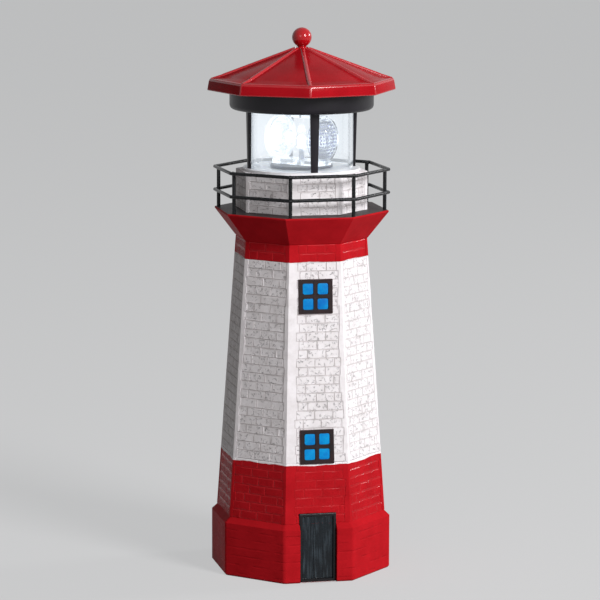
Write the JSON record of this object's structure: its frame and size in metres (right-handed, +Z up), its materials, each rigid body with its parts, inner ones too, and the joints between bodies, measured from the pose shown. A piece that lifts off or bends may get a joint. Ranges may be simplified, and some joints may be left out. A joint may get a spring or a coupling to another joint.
{
  "type": "garden lighthouse ornament",
  "caption": "Octagonal brick lighthouse ornament with gallery rail and red roof; a lift-out lantern unit turns a two-sided lens head through a small gear drive.",
  "frame": {"origin": "centre of the tower's base, on the ground", "axes": "+Z up along the tower's axis, -Y out of the face with the door and windows, +X to the right of that face"},
  "size_m": [0.1204, 0.1204, 0.35],
  "materials": {
    "white_paint": "brushed white paint over cast resin",
    "red_paint": "brushed red paint over cast resin",
    "black_paint": "black paint lines and deck",
    "window_paint": "bright blue paint in the panes",
    "door_paint": "slate grey paint on the door",
    "rail_metal": "black painted wire",
    "red_plastic": "glossy red moulding",
    "black_plastic": "glossy black moulding",
    "white_plastic": "white moulding",
    "cover_plastic": "satin black moulding",
    "clear_plastic": "clear tube",
    "lens_plastic": "clear moulded lens",
    "lamp_lens": "lit white lamp",
    "solar_cell": "dark blue cells under clear resin",
    "lead_sleeve": "black sleeve",
    "brass": "turned",
    "steel": "plated",
    "dark_steel": "blackened",
    "nylon": "natural nylon",
    "cell_wrap": "plain green sleeve, no print",
    "board": "green board"
  },
  "bodies": {
    "tower": {"tower": "white_paint", "rail_posts": "rail_metal", "rail_upper": "rail_metal", "rail_lower": "rail_metal"},
    "lantern": {"lantern_base": "white_plastic", "lantern_glass": "clear_plastic", "cage": "black_plastic", "roof": "red_plastic", "roof_screws": "steel", "finial": "red_plastic", "solar_panel_left": "solar_cell", "solar_panel_right": "solar_cell", "solar_lead": "lead_sleeve", "floor_bush": "brass", "pivot_bush": "brass", "gear_plate": "steel", "drive_screws": "steel", "idler_axle": "steel", "motor": "steel", "lamp_stem": "black_plastic", "lamp": "lamp_lens", "bottom_cover": "cover_plastic", "cover_screws": "steel", "battery": "cell_wrap", "contact_plate": "steel", "contact_spring": "steel", "battery_door": "cover_plastic", "door_screw": "steel", "circuit_board": "board", "switch_body": "steel"},
    "lens_head": {"turntable": "black_plastic", "drive_gear": "nylon", "lens_frame": "lens_plastic", "lens_left": "lens_plastic", "lens_right": "lens_plastic", "pivot_pin": "dark_steel"},
    "idler": {"idler_gear": "nylon"},
    "pinion": {"motor_shaft": "steel", "motor_pinion": "brass"},
    "switch": {"switch_slider": "black_plastic"}
  },
  "joints": [
    {"name": "lantern_lift", "type": "slide", "parent": "tower", "child": "lantern", "axis": [0, 0, 1], "range_m": [0, 0.06]},
    {"name": "lens_spin", "type": "hinge", "parent": "lantern", "child": "lens_head", "pos_m": [0, 0, 0.28], "axis": [0, 0, 1], "continuous": true},
    {"name": "idler_spin", "type": "hinge", "parent": "lantern", "child": "idler", "pos_m": [-0.01691, -0.00616, 0.25], "axis": [0, 0, 1], "continuous": true},
    {"name": "pinion_spin", "type": "hinge", "parent": "lantern", "child": "pinion", "pos_m": [-0.01001, -0.01811, 0.248], "axis": [0, 0, 1], "continuous": true},
    {"name": "switch_slide", "type": "slide", "parent": "lantern", "child": "switch", "axis": [1, 0, 0], "range_m": [0, 0.0024]}
  ],
  "couplings": [
    {"joint": "idler_spin", "follows": "lens_spin", "ratio": -4},
    {"joint": "pinion_spin", "follows": "lens_spin", "ratio": 14.4}
  ]
}
